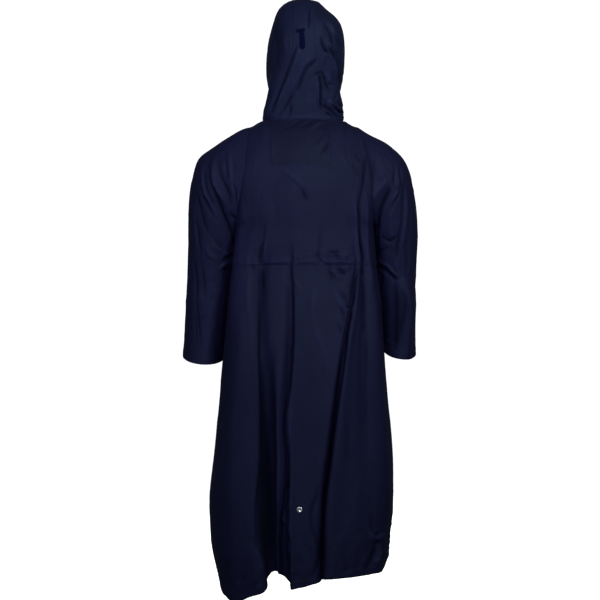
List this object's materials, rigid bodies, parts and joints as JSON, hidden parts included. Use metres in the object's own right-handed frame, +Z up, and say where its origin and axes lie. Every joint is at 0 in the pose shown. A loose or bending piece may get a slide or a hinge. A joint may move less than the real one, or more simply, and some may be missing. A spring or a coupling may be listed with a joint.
{
  "type": "rain poncho",
  "caption": "Long hooded rain poncho with short wide sleeves, a gathered waist and an open hem, filled out as when worn.",
  "frame": {"origin": "middle of the neck seam, where the hood joins the body, between the wearer's shoulders", "axes": "+Z up, the wearer faces -Y with the back of the garment towards +Y, and the wearer's left is +X"},
  "size_m": [0.621, 0.4213, 1.5558],
  "materials": {
    "rain_cloth": "thin coated rain cloth, very dark navy, semi-matt with a soft sheen and fine crinkles",
    "hook_tape": "matt dark navy hook-and-loop tape",
    "snap_steel": "bright polished metal"
  },
  "bodies": {
    "root": {"back": "rain_cloth", "front": "rain_cloth", "sleeve_left": "rain_cloth", "sleeve_right": "rain_cloth", "hood_left": "rain_cloth", "hood_right": "rain_cloth", "hood_centre": "rain_cloth", "waist_casing": "rain_cloth", "neck_patch": "rain_cloth", "hood_tab": "hook_tape", "hood_tab_keeper": "hook_tape", "snap_cap": "snap_steel"}
  },
  "joints": []
}
